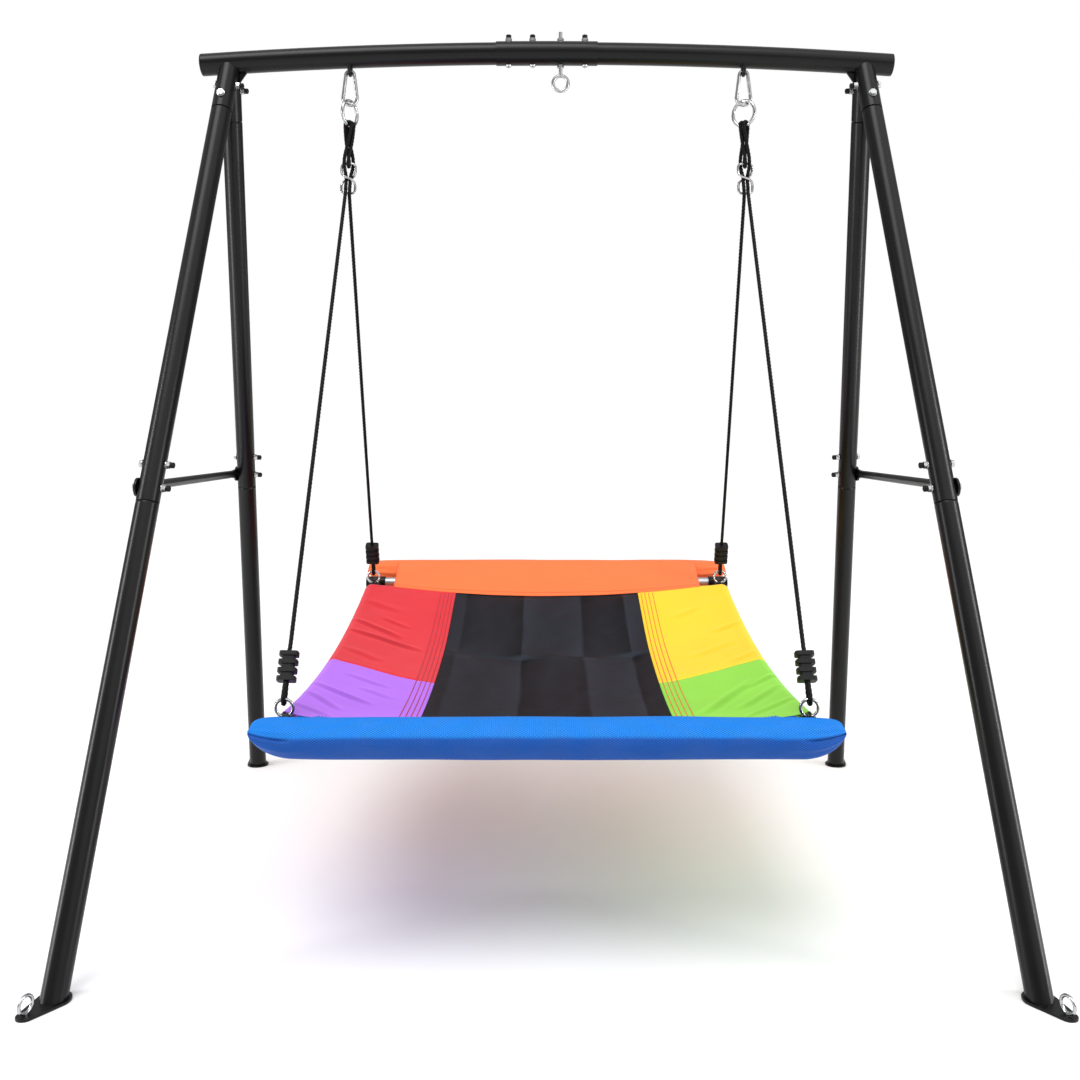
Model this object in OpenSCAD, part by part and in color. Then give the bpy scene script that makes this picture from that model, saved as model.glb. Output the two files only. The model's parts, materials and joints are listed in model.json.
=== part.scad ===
// Platform swing on a free-standing A-frame stand. Millimetres, +Z up, front of the swing towards -Y.
// The origin is on the ground, midway between the four feet.

/* [Stand] */
// Height of the top beam's centre line at mid span
beam_z = 1802; // [1750:1:1850]
// Half length of the top beam
beam_half = 776; // [760:1:800]
// Outer diameter of the top beam
beam_d = 49; // [48:0.5:50]
// Radius of the beam's upward arch
arch_r = 11500; // [10500:100:12500]
// Length of the tube that joins the two beam halves
sleeve_len = 228; // [220:1:240]
// Outer diameter of the four legs
leg_d = 45; // [44:0.5:46]
// Wall thickness of all the stand's tubes
tube_wall = 1.5; // [1.2:0.1:2]
// Distance of each pair of legs from the middle, at the top
apex_x = 715; // [700:1:725]
// Height at which the legs' centre lines meet
apex_z = 1775; // [1765:1:1780]
// Distance of each foot from the middle, sideways
foot_x = 822; // [800:1:840]
// Distance of each foot from the middle, front to back
foot_y = 660; // [620:1:700]
// Outer diameter of the side braces
brace_d = 19; // [18:0.5:22]

/* [Hangers] */
// Distance of each hook from the middle
hook_x = 444; // [430:1:460]
// Rod diameter of the hooks and the carabiners
rod_d = 8; // [7:0.5:8]
// Outer diameter of the hanging rings
ring_od = 63.5; // [60:0.5:66]
// Rod diameter of the hanging rings
ring_rod = 7.5; // [7:0.5:7.5]
// Turn of the left hanging ring about the vertical
ring_turn_left = 65; // [55:1:75]
// Turn of the right hanging ring about the vertical
ring_turn_right = 42; // [40:1:60]
// Rope diameter
rope_d = 8; // [7:0.5:8]

/* [Mat] */
// Distance of the side rails from the middle
rail_x = 470; // [460:1:480]
// Distance of the end rails from the middle
rail_y = 565; // [560:1:575]
// Distance of the corner rings from the middle, front to back
ring_y = 520; // [515:1:530]
// Height of the corner rings' plane at the middle of the mat
mat_z = 504; // [480:1:530]
// Slope of the hanging mat, rear end up
mat_tilt = 5.5; // [3:0.5:8]
// Dip of the curved side rails, from the corner rings to the middle
bow = 44; // [30:1:60]
// Outer diameter of the padded end rolls
roll_d = 68; // [64:1:76]
// Half length of the padded end rolls
roll_half = 500; // [495:1:515]
// Distance of the padded end rolls from the middle
roll_y = 635; // [630:1:640]
// Dip of the cloth across the mat, from the side rails to the middle
sag = 60; // [50:1:65]
// Half width of the black middle panel
black_half = 248; // [230:1:260]

/* [Hidden] */
$fn = 48;

black_paint = [0.07, 0.07, 0.08];
black_plastic = [0.05, 0.05, 0.05];
zinc = [0.78, 0.79, 0.8];
big = 4000;

// Legs: the two lean angles, and stations measured down each leg from its apex
lean_x = asin((foot_x - apex_x) / sqrt(pow(foot_x - apex_x, 2) + foot_y * foot_y + apex_z * apex_z));
lean_y = atan(foot_y / apex_z);
leg_len = sqrt(pow(foot_x - apex_x, 2) + foot_y * foot_y + apex_z * apex_z);
leg_r = leg_d / 2;
bore_r = leg_r - tube_wall;
neck_r = bore_r - 0.1;
socket_end = 121;
neck_top = 38;
mid_joint = 1030;
low_neck_top = 920;
brace_at = 1000;
low_bolts = [952, brace_at];
top_bolt_x = 54;
top_bolt_y = 92;
plate_t = 4;

// M8 hardware
bolt_d = 8;
hole_d = 8.4;
washer_d = 17;
washer_t = 1.6;
nut_af = 13;
nut_h = 6.5;
head_h = 5.3;
cap_d = 12;
cap_h = 9.5;
thread_end = 6.4;

// Beam and its joining sleeve
beam_r = beam_d / 2;
sleeve_in = beam_r + 0.2;
sleeve_r = beam_r + 2.2;
sleeve_bolt_x = [-86, -32, 86];
eye_x = 31;
eye_od = 42;
eye_rod = 8;
eye_z = beam_z - 68;

// Hanger levels: the carabiner's top rod, the hanging ring's top rod, and the hanger's splay
hook_bend = 12;
hook_low = beam_z - 49;
clip_z = hook_low + rod_d + 0.4;
clip_top_r = 9.5;
clip_low_r = 15.75;
clip_gap = 51.15;
clip_lean = asin((clip_low_r - clip_top_r) / clip_gap);
clip_len = clip_gap * cos(clip_lean);
clip_low_z = clip_z - clip_top_r - clip_gap - clip_low_r;
ring_z = clip_low_z + rod_d + 1.4;
ring_r = (ring_od - ring_rod) / 2;
splay = atan((rail_x - hook_x) / (ring_z - mat_z));
gate_hinge = 6;

// Mat: levels below the corner rings' plane, and the arc of the side rails' centre lines
rail_d = 28;
rail_drop = 34;
bow_r = (ring_y * ring_y + bow * bow) / (2 * bow);
bow_top = sqrt(bow_r * bow_r - ring_y * ring_y) - rail_drop;
mass_low = 50;
mat_y = -mass_low * sin(mat_tilt);
corner_od = 38;
corner_rod = 6;
corner_r = (corner_od - corner_rod) / 2;
seam_y = ring_y - 16;
colour_y = -85;
hem_r = 22;
flap_half = rail_x - 66;
cloth_t = 3;

function unit(v) = v / norm(v);
function beam_axis(x) = beam_z - arch_r + sqrt(arch_r * arch_r - x * x);
function turn_y(a, p) = [p.x * cos(a) + p.z * sin(a), p.y, p.z * cos(a) - p.x * sin(a)];
function turn_x(a, p) = [p.x, p.y * cos(a) - p.z * sin(a), p.y * sin(a) + p.z * cos(a)];
function turn_z(a, p) = [p.x * cos(a) - p.y * sin(a), p.x * sin(a) + p.y * cos(a), p.z];
function mat_point(p) = turn_x(mat_tilt, p) + [0, mat_y, mat_z];

// One left hanger, below its ring's top rod: [across, front to back, down]
function hung(p, turn) =
  turn_y(splay, turn_z(turn * max(0, min(1, (135 + p.z) / 75)), p)) + [-hook_x, 0, ring_z];

// The strands through the buckle and over the ring, from the front rope to the rear rope
STRANDS = [
  [-4.6, -7.4, -209], [-4.6, -6.6, -199], [-4.6, -2.5, -186], [-4.6, 0, -175], [-5.4, -1, -168],
  [-7.6, -5, -155], [-8.8, -7.4, -142], [-8.6, -7.6, -125], [-6, -8.5, -90], [-4.6, -8.5, -56],
  [-4.6, -6, -50], [-4.6, 0, -47.4], [-4.6, 6, -50], [-4.6, 8.5, -56], [-3, 8.5, -90],
  [-0.6, 7.6, -125], [0, 7.3, -141], [0, 5.3, -146.2], [0, 0, -148.5], [0, -5.3, -146.2], [0, -7.3, -141],
  [0.6, -7.6, -125], [3, -8.5, -90], [4.6, -8.5, -56], [4.6, -6, -50], [4.6, 0, -47.4],
  [4.6, 6, -50], [4.6, 8.5, -56], [6, 8.5, -90], [8.6, 7.6, -125], [8.8, 7.4, -142],
  [7.6, 5, -155], [5.4, 1, -168], [4.6, 0, -175], [4.6, -2.5, -186], [4.6, -6.6, -199],
  [4.6, -7.2, -209], [4.2, -3.5, -221]
];
// The end loop round a corner ring's top rod, from the free end: [across the loop, up the rope]
END_LOOP = [
  [4.2, 74], [4.2, 58], [4.2, 42], [6.4, 24], [8.3, 10], [8.3, 0], [5.9, -5.9], [0, -8.3],
  [-5.9, -5.9], [-8.3, 0], [-8.3, 10], [-6.4, 24], [-4.2, 42], [-4.2, 58], [-3, 84], [-0.5, 110]
];
// Places along each long rope, as shares of the way up from its clamp to the buckle
RUN = [0.1, 0.3, 0.5, 0.7, 0.9];

function loop_at(end) = mat_point([-rail_x, end * ring_y, corner_r]);
function strand_end(end) = hung(end < 0 ? STRANDS[0] : STRANDS[len(STRANDS) - 1], 0);
function rope_way(end) = unit(strand_end(end) - loop_at(end));
function rope_tip(end) = -asin(rope_way(end).y);
function rope_yaw(end) = atan2(rope_way(end).x, rope_way(end).z);
function end_points(end) = [for (p = END_LOOP)
  turn_y(rope_yaw(end), turn_x(rope_tip(end), [0, -end * p.x, p.y])) + loop_at(end)];
function run_points(end) = let (low = end_points(end)[len(END_LOOP) - 1], high = strand_end(end))
  [for (s = RUN) low + s * (high - low)];
function back_to_front(list) = [for (i = [len(list) - 1:-1:0]) list[i]];
function route(turn) = concat(
  end_points(-1), run_points(-1), [for (p = STRANDS) hung(p, turn)],
  back_to_front(run_points(1)), back_to_front(end_points(1)));

// Buckle wire: half of the figure of eight, from the top bar round to the bottom bar
BUCKLE_HALF = [
  [-8, 0, -141.5], [-12.6, 0, -142.9], [-15.2, 0, -146.6], [-15.75, 0, -152], [-15.6, -1, -160],
  [-13.4, -4.5, -167], [-7.5, -6.8, -172], [0, -7.2, -175], [7.5, -6.8, -178],
  [13.4, -4.5, -183], [15.6, -1, -190], [15.75, 0, -198], [15.2, 0, -203.4], [12.6, 0, -207.1],
  [8, 0, -208.5]
];

// Tube with a round section along points; the section's frame is carried from point to point
function way(p, i, closed) = let (n = len(p)) closed
  ? unit(p[(i + 1) % n] - p[(i + n - 1) % n])
  : unit(p[min(i + 1, n - 1)] - p[max(i - 1, 0)]);
function square_to(v, t) = unit(v - (v * t) * t);
module sweep(p, d, sides, closed = false) {
  n = len(p);
  first = square_to([0.8, 0.6, 0.05], way(p, 0, closed));
  side = [for (i = 0, v = first; i < n; i = i + 1, v = i < n ? square_to(v, way(p, i, closed)) : v) v];
  points = [for (i = [0:n - 1], k = [0:sides - 1]) let (t = way(p, i, closed), a = 360 * k / sides)
    p[i] + d / 2 * (cos(a) * side[i] + sin(a) * cross(t, side[i]))];
  walls = [for (i = [0:closed ? n - 1 : n - 2], k = [0:sides - 1])
    let (j = (i + 1) % n, m = (k + 1) % sides)
      [j * sides + k, j * sides + m, i * sides + m, i * sides + k]];
  caps = closed ? [] : [[for (k = [0:sides - 1]) k], [for (k = [sides - 1:-1:0]) (n - 1) * sides + k]];
  polyhedron(points = points, faces = concat(caps, walls), convexity = 8);
}

module beam_arc(x0, x1, r_out, r_in) {
  translate([0, 0, beam_z - arch_r])
    rotate([90, 0, 0])
      rotate([0, 0, acos(x1 / arch_r)])
        rotate_extrude(angle = acos(x0 / arch_r) - acos(x1 / arch_r), $fn = 1800)
          translate([arch_r, 0])
            difference() {
              circle(r = r_out, $fn = 48);
              circle(r = r_in, $fn = 48);
            }
}

// Straight stand-in for the beam's outside near x, for cutting what is welded to it
module beam_near(x, clear = 0.02) {
  translate([x, 0, beam_axis(x)])
    rotate([0, 90 + asin(x / arch_r), 0])
      cylinder(r = beam_r + clear, h = 200, center = true);
}

module sleeve_holes() {
  for (x = concat(sleeve_bolt_x, [eye_x]))
    translate([x, 0, beam_z - 60]) cylinder(d = hole_d, h = 120);
}

module beam_tube(side) {
  color(black_paint)
    difference() {
      beam_arc(side < 0 ? -beam_half : 0.3, side < 0 ? -0.3 : beam_half, beam_r, beam_r - tube_wall);
      sleeve_holes();
    }
}
module beam_tube_left() { beam_tube(-1); }
module beam_tube_right() { beam_tube(1); }

module beam_end_plugs() {
  plug_in = 18;
  color(black_plastic)
    for (side = [-1, 1])
      mirror([side < 0 ? 1 : 0, 0, 0])
        translate([beam_half, 0, beam_axis(beam_half)])
          rotate([0, 90 + asin(beam_half / arch_r), 0]) {
            cylinder(r = beam_r - 0.3, h = 2);
            translate([0, 0, -plug_in]) cylinder(r = beam_r - tube_wall - 0.15, h = plug_in + 1);
          }
}

module beam_sleeve() {
  color(black_paint)
    difference() {
      beam_arc(-sleeve_len / 2, sleeve_len / 2, sleeve_r, sleeve_in);
      sleeve_holes();
    }
}

module hex(af, h) { cylinder(d = af / cos(30), h = h, $fn = 6); }
module nut() {
  difference() {
    hex(nut_af, nut_h);
    translate([0, 0, -1]) cylinder(d = bolt_d + 0.1, h = nut_h + 2);
  }
}
module washer() {
  difference() {
    cylinder(d = washer_d, h = washer_t);
    translate([0, 0, -1]) cylinder(d = hole_d, h = washer_t + 2);
  }
}
module thread_cap() {
  dome_r = 9;
  intersection() {
    difference() {
      cylinder(d = cap_d, h = cap_h);
      translate([0, 0, -1]) cylinder(d = bolt_d + 0.1, h = cap_h - 2);
    }
    translate([0, 0, cap_h - dome_r]) sphere(r = dome_r);
  }
}
module dome_head(d, h) {
  dome_r = (d * d / 4 + h * h) / (2 * h);
  intersection() {
    translate([0, 0, h - dome_r]) sphere(r = dome_r);
    cylinder(d = d, h = h);
  }
}

module sleeve_bolts() {
  color(zinc)
    for (x = sleeve_bolt_x)
      translate([x, 0, beam_axis(x)]) {
        translate([0, 0, -sleeve_r - 1]) cylinder(d = bolt_d, h = 2 * sleeve_r + 1 + nut_h + thread_end);
        translate([0, 0, -sleeve_r - 0.1]) mirror([0, 0, 1]) dome_head(14, 6);
      }
}
module sleeve_nuts() {
  color(zinc)
    for (x = sleeve_bolt_x)
      translate([x, 0, beam_axis(x) + sleeve_r + 0.1]) nut();
}
module sleeve_caps() {
  color(black_plastic)
    for (x = sleeve_bolt_x)
      translate([x, 0, beam_axis(x) + sleeve_r + nut_h + 0.3]) thread_cap();
}

module centre_eyebolt() {
  eye_r = (eye_od - eye_rod) / 2;
  color(zinc)
    translate([eye_x, 0, 0]) {
      translate([0, 0, eye_z + eye_r]) cylinder(d = bolt_d, h = beam_z + sleeve_r + 21 - eye_z - eye_r);
      translate([0, 0, eye_z]) rotate([90, 0, 0])
        rotate_extrude($fn = 72) translate([eye_r, 0]) circle(d = eye_rod, $fn = 32);
    }
}
module eyebolt_nuts() {
  color(zinc)
    for (z = [beam_axis(eye_x) + sleeve_r + 0.1, beam_axis(eye_x) - sleeve_r - 0.1 - nut_h])
      translate([eye_x, 0, z]) nut();
}

// Leg frame: the leg runs along -Z from the apex, +X points outwards
module at_leg(side, end) {
  mirror([side < 0 ? 1 : 0, 0, 0])
    mirror([0, end > 0 ? 1 : 0, 0])
      translate([apex_x, 0, apex_z])
        rotate([-lean_y, 0, 0])
          rotate([0, -lean_x, 0])
            children();
}
// Everything on the far side of the plane between the front and rear legs
module past_middle(end, gap) {
  translate([-big / 2, end < 0 ? -gap : gap - big, -big / 2]) cube(big);
}
module cross_hole(s) {
  translate([0, 0, -s]) rotate([0, 90, 0]) cylinder(d = hole_d, h = 80, center = true);
}
module front_hole(s) {
  translate([0, 0, -s]) rotate([90, 0, 0]) cylinder(d = hole_d, h = 80, center = true);
}
module top_holes() {
  cross_hole(top_bolt_x);
  front_hole(top_bolt_y);
}

module leg_socket(side, end) {
  color(black_paint)
    difference() {
      at_leg(side, end)
        difference() {
          translate([0, 0, -socket_end]) cylinder(r = leg_r, h = socket_end);
          translate([0, 0, -socket_end - 1]) cylinder(r = bore_r, h = socket_end + 2);
          top_holes();
        }
      past_middle(end, 0);
      beam_near(side * apex_x);
    }
}
module leg_socket_front_left() { leg_socket(-1, -1); }
module leg_socket_front_right() { leg_socket(1, -1); }
module leg_socket_rear_left() { leg_socket(-1, 1); }
module leg_socket_rear_right() { leg_socket(1, 1); }

module gusset_plates() {
  thick = 4;
  color(black_paint)
    for (side = [-1, 1])
      difference() {
        mirror([side < 0 ? 1 : 0, 0, 0])
          translate([0, thick / 2, 0]) rotate([90, 0, 0])
            linear_extrude(thick)
              polygon([[650, 1796], [704, 1796], [704, 1728], [697, 1728]]);
        for (end = [-1, 1])
          at_leg(side, end) translate([0, 0, -socket_end]) cylinder(r = leg_r + 0.02, h = socket_end);
        beam_near(side * 680);
      }
}

module upper_leg(side, end) {
  swage = 4;
  color(black_paint)
    difference() {
      at_leg(side, end)
        difference() {
          rotate_extrude()
            polygon([
              [neck_r, -neck_top], [neck_r, -socket_end - 0.3], [leg_r, -socket_end - swage],
              [leg_r, -mid_joint + 0.3], [bore_r, -mid_joint + 0.3], [bore_r, -socket_end - swage - 0.5],
              [neck_r - tube_wall, -socket_end - 0.3], [neck_r - tube_wall, -neck_top]]);
          top_holes();
          for (s = low_bolts) cross_hole(s);
        }
      past_middle(end, 1);
    }
}
module upper_leg_front_left() { upper_leg(-1, -1); }
module upper_leg_front_right() { upper_leg(1, -1); }
module upper_leg_rear_left() { upper_leg(-1, 1); }
module upper_leg_rear_right() { upper_leg(1, 1); }

module lower_leg(side, end) {
  swage = 4;
  color(black_paint)
    difference() {
      at_leg(side, end)
        difference() {
          rotate_extrude()
            polygon([
              [neck_r, -low_neck_top], [neck_r, -mid_joint], [leg_r, -mid_joint - swage],
              [leg_r, -leg_len - 30], [bore_r, -leg_len - 30], [bore_r, -mid_joint - swage - 0.5],
              [neck_r - tube_wall, -mid_joint], [neck_r - tube_wall, -low_neck_top]]);
          for (s = low_bolts) cross_hole(s);
        }
      translate([-big / 2, -big / 2, plate_t - big]) cube(big);
    }
}
module lower_leg_front_left() { lower_leg(-1, -1); }
module lower_leg_front_right() { lower_leg(1, -1); }
module lower_leg_rear_left() { lower_leg(-1, 1); }
module lower_leg_rear_right() { lower_leg(1, 1); }

// Side brace: a tube with flattened, flared ends bolted to the outer side of both legs
module brace(side) {
  pad_d = 37;
  pad_t = 4.5;
  tube_half = 300;
  pad_x = leg_r + 0.1;
  brace_x = apex_x + brace_at * sin(lean_x) + (pad_x + pad_t / 2) * cos(lean_x);
  brace_z = apex_z - brace_at * cos(lean_x) * cos(lean_y) + (pad_x + pad_t / 2) * sin(lean_x) * cos(lean_y);
  color(black_paint)
    difference() {
      union() {
        translate([side * brace_x, tube_half, brace_z]) rotate([90, 0, 0])
          cylinder(d = brace_d, h = 2 * tube_half);
        for (end = [-1, 1]) {
          at_leg(side, end) translate([pad_x, 0, -brace_at]) rotate([0, 90, 0])
            cylinder(d = pad_d, h = pad_t);
          hull() {
            translate([side * brace_x, end * (tube_half - 6), brace_z]) rotate([90, 0, 0])
              cylinder(d = brace_d - 1.8, h = 1, center = true, $fn = 32);
            at_leg(side, end) translate([pad_x + 0.2, 0, -brace_at]) rotate([lean_y, 0, 0])
              translate([0, 8, -12]) cube([pad_t - 0.4, 6, 24]);
          }
        }
      }
      translate([side * brace_x, tube_half - 4, brace_z]) rotate([90, 0, 0])
        cylinder(d = brace_d - 2 * tube_wall, h = 2 * tube_half - 8);
      for (end = [-1, 1]) at_leg(side, end) cross_hole(brace_at);
    }
}
module brace_left() { brace(-1); }
module brace_right() { brace(1); }

foot_turn = -68;
anchor_gap = 58;
module at_foot(side, end) {
  mirror([side < 0 ? 1 : 0, 0, 0])
    mirror([0, end > 0 ? 1 : 0, 0])
      translate([foot_x, -foot_y, 0])
        rotate([0, 0, foot_turn])
          children();
}
module foot_plates() {
  color(black_paint)
    for (side = [-1, 1], end = [-1, 1])
      at_foot(side, end)
        difference() {
          linear_extrude(plate_t) hull() {
            circle(r = 29);
            translate([anchor_gap + 1, 0]) circle(r = 15);
          }
          translate([anchor_gap, 0, -1]) cylinder(d = hole_d, h = plate_t + 2);
        }
}
module anchor_rings() {
  anchor_od = 34;
  anchor_rod = 6;
  color(zinc)
    for (side = [-1, 1], end = [-1, 1])
      at_foot(side, end)
        translate([anchor_gap, 0, 0]) {
          translate([0, 0, 0.6]) cylinder(d = bolt_d, h = plate_t + 3);
          translate([0, 0, plate_t + 0.1 + anchor_od / 2]) rotate([90, 0, 0])
            rotate_extrude() translate([(anchor_od - anchor_rod) / 2, 0]) circle(d = anchor_rod, $fn = 32);
        }
}

// Joint hardware: [distance down the leg, thickness clamped under the head]
brace_pad = 4.6;
THROUGH = [[top_bolt_x, 0], [low_bolts[0], 0], [brace_at, brace_pad]];
// Bolt axis frame: +Z runs from the middle of the leg towards the bolt's head
module each_through_joint() {
  for (side = [-1, 1], end = [-1, 1], j = THROUGH)
    at_leg(side, end)
      translate([0, 0, -j[0]]) rotate([0, 90, 0]) {
        $under_head = leg_r + j[1] + 0.1;
        children();
      }
}
// The screws that face front and rear end flush in the tapped back wall, clear of the other leg
module each_face_joint() {
  for (side = [-1, 1], end = [-1, 1])
    at_leg(side, end)
      translate([0, 0, -top_bolt_y]) rotate([90, 0, 0]) children();
}
module joint_bolts() {
  color(zinc)
    {
      each_through_joint() {
        translate([0, 0, $under_head + washer_t]) hex(nut_af, head_h);
        translate([0, 0, -leg_r - washer_t - nut_h - thread_end])
          cylinder(d = bolt_d, h = $under_head + leg_r + 2 * washer_t + nut_h + thread_end + 0.5);
      }
      each_face_joint() {
        translate([0, 0, leg_r + 0.1 + washer_t]) hex(nut_af, head_h);
        translate([0, 0, -leg_r]) cylinder(d = bolt_d, h = 2 * leg_r + washer_t + 0.5);
      }
    }
}
module joint_washers() {
  color(zinc)
    {
      each_through_joint() {
        translate([0, 0, $under_head]) washer();
        translate([0, 0, -leg_r - 0.1 - washer_t]) washer();
      }
      each_face_joint() translate([0, 0, leg_r + 0.1]) washer();
    }
}
module joint_nuts() {
  color(zinc)
    each_through_joint()
      translate([0, 0, -leg_r - 0.1 - washer_t - nut_h]) nut();
}
module joint_caps() {
  color(black_plastic)
    each_through_joint()
      translate([0, 0, -leg_r - 0.3 - washer_t - nut_h]) mirror([0, 0, 1]) thread_cap();
}

module hook_eye(side) {
  bend_z = hook_low + hook_bend;
  color(black_paint)
    difference() {
      translate([side * hook_x, 0, bend_z]) {
        rotate([90, 0, 90]) rotate([0, 0, 180])
          rotate_extrude(angle = 180, $fn = 72) translate([hook_bend, 0]) circle(d = rod_d, $fn = 32);
        for (y = [-hook_bend, hook_bend])
          translate([0, y, 0]) cylinder(d = rod_d, h = 14);
      }
      beam_near(side * hook_x);
    }
}
module hook_eye_left() { hook_eye(-1); }
module hook_eye_right() { hook_eye(1); }

// Carabiner, drawn in its own plane: the top rod's centre at the origin, the gate on the +X side
module at_clip(side) {
  translate([side * hook_x, 0, clip_z]) rotate([90, 0, 0]) children();
}
module bend(y, r, from, to) {
  translate([0, y, 0]) rotate([0, 0, from])
    rotate_extrude(angle = to - from, $fn = 96) translate([r, 0]) circle(d = rod_d, $fn = 32);
}
// Frame of a straight side: +Y runs down along it from the upper bend
module clip_line(dir) {
  translate([dir * clip_top_r * cos(clip_lean), -clip_top_r + clip_top_r * sin(clip_lean), 0])
    rotate([0, 0, 180 + dir * clip_lean])
      children();
}
module tang(from, to) {
  translate([-3.5, from, -1.5]) cube([7, to - from, 3]);
}
module carabiner(side) {
  color(zinc)
    at_clip(side)
      difference() {
        union() {
          bend(-clip_top_r, clip_top_r, clip_lean, 180 - clip_lean);
          bend(-clip_top_r - clip_gap, clip_low_r, 180 - clip_lean, 360 + clip_lean);
          clip_line(-1) rotate([-90, 0, 0]) cylinder(d = rod_d, h = clip_len, $fn = 32);
          clip_line(1) tang(-1, 10);
          clip_line(1) tang(clip_len - 11, clip_len + 1);
          clip_line(1) translate([0, clip_len - 3, 0]) rotate([-90, 0, 0])
            cylinder(d = rod_d, h = 3, $fn = 32);
        }
        clip_line(1) translate([0, gate_hinge, -6]) cylinder(d = 2.52, h = 12, $fn = 24);
      }
}
module carabiner_left() { carabiner(-1); }
module carabiner_right() { carabiner(1); }

module gate_pin(side) {
  color(zinc)
    at_clip(side) clip_line(1) translate([0, gate_hinge, -4.2]) cylinder(d = 2.5, h = 8.4, $fn = 24);
}
module gate_pin_left() { gate_pin(-1); }
module gate_pin_right() { gate_pin(1); }

module gate(side) {
  color(zinc)
    at_clip(side) clip_line(1)
      difference() {
        translate([0, 2, 0]) rotate([-90, 0, 0]) cylinder(d = rod_d, h = clip_len - 5.6, $fn = 32);
        translate([-5, 0, -1.7]) cube([10, 12, 3.4]);
        translate([-5, clip_len - 11.5, -1.7]) cube([10, 14, 3.4]);
        translate([0, gate_hinge, -6]) cylinder(d = 2.64, h = 12, $fn = 24);
      }
}
module gate_left() { gate(-1); }
module gate_right() { gate(1); }

// Frame of one hanger: origin at its ring's top rod, -Z down along the taut ropes
module at_hanger(side) {
  mirror([side > 0 ? 1 : 0, 0, 0])
    translate([-hook_x, 0, ring_z])
      rotate([0, splay, 0])
        children();
}
module hanging_ring(side, turn) {
  color(zinc)
    at_hanger(side)
      translate([0, 0, -ring_r]) rotate([0, 0, turn]) rotate([90, 0, 0])
        rotate_extrude($fn = 96) translate([ring_r, 0]) circle(d = ring_rod, $fn = 32);
}
module hanging_ring_left() { hanging_ring(-1, ring_turn_left); }
module hanging_ring_right() { hanging_ring(1, ring_turn_right); }

// Both buckles cross the same way round, so the right one is mirrored back
module buckle(side) {
  half = [for (p = BUCKLE_HALF) [-side * p.x, p.y, p.z]];
  other = [for (p = BUCKLE_HALF) [side * p.x, -p.y, p.z]];
  color(zinc)
    at_hanger(side) sweep(concat(half, back_to_front(other)), 5.5, 10, true);
}
module buckle_left() { buckle(-1); }
module buckle_right() { buckle(1); }

module rope(side, turn) {
  color(black_plastic)
    mirror([side > 0 ? 1 : 0, 0, 0]) sweep(route(turn), rope_d, 8);
}
module rope_left() { rope(-1, ring_turn_left); }
module rope_right() { rope(1, ring_turn_right); }

module soft_square(w, d, r) {
  square([w, d - 2 * r], center = true);
  square([w - 2 * r, d], center = true);
  for (x = [-1, 1], y = [-1, 1])
    translate([x * (w / 2 - r), y * (d / 2 - r)]) circle(r = r, $fn = 32);
}
// Ribbed clamp that holds the two strands above a corner ring
module rope_clamps(side) {
  low = 32;
  tall = 54;
  ribs = 4;
  pitch = (tall - 8) / (ribs - 1);
  color(black_plastic)
    mirror([side > 0 ? 1 : 0, 0, 0])
      for (end = [-1, 1])
        translate(loop_at(end)) rotate([rope_tip(end), rope_yaw(end), 0])
          translate([0, 0, low]) {
            linear_extrude(tall) soft_square(23, 20, 5);
            for (i = [0:ribs - 1])
              translate([0, 0, i * pitch]) linear_extrude(8) soft_square(34, 25, 6);
          }
}
module rope_clamps_left() { rope_clamps(-1); }
module rope_clamps_right() { rope_clamps(1); }

module at_mat() {
  translate([0, mat_y, mat_z]) rotate([mat_tilt, 0, 0]) children();
}
module rod_x(half, d) { rotate([0, 90, 0]) cylinder(d = d, h = 2 * half, center = true); }
module rod_y(half, d) { rotate([90, 0, 0]) cylinder(d = d, h = 2 * half, center = true); }

// Angle along the side rails' arc at y, and a point of the mat: across, along, and above the arc
function bow_at(y) = asin(y / bow_r);
function bow_point(x, y, h) =
  [x, (bow_r - h) * sin(bow_at(y)), bow_top - (bow_r - h) * cos(bow_at(y))];
// Sweeps a profile along the side rails' arc: X across the mat, Y up from the arc
module along_bow(y0, y1) {
  translate([0, 0, bow_top])
    rotate([bow_at(y0), 0, 0])
      rotate([0, 90, 0])
        rotate_extrude(angle = bow_at(y1) - bow_at(y0), $fn = 720)
          translate([bow_r, 0]) rotate(90) children();
}
module at_bow(y) {
  translate(bow_point(0, y, 0)) rotate([bow_at(y), 0, 0]) children();
}
module rail_ring(side, d_out, d_in) {
  translate([side * rail_x, 0])
    difference() {
      circle(d = d_out);
      circle(d = d_in);
    }
}

module end_rail(end) {
  color(zinc)
    at_mat() at_bow(end * rail_y)
      difference() {
        rod_x(rail_x + 24, rail_d);
        rod_x(rail_x + 25, rail_d - 2 * tube_wall);
      }
}
module front_rail() { end_rail(-1); }
module rear_rail() { end_rail(1); }

tee_d = 34;
arm_half = 30;
side_half = rail_y - rail_d / 2 - 1.5;
module side_rail(side) {
  color(zinc)
    at_mat()
      difference() {
        along_bow(-side_half, side_half) rail_ring(side, rail_d, rail_d - 2 * tube_wall);
        for (end = [-1, 1])
          at_bow(end * rail_y) rod_x(roll_half, rail_d + 0.4);
      }
}
module side_rail_left() { side_rail(-1); }
module side_rail_right() { side_rail(1); }

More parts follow.
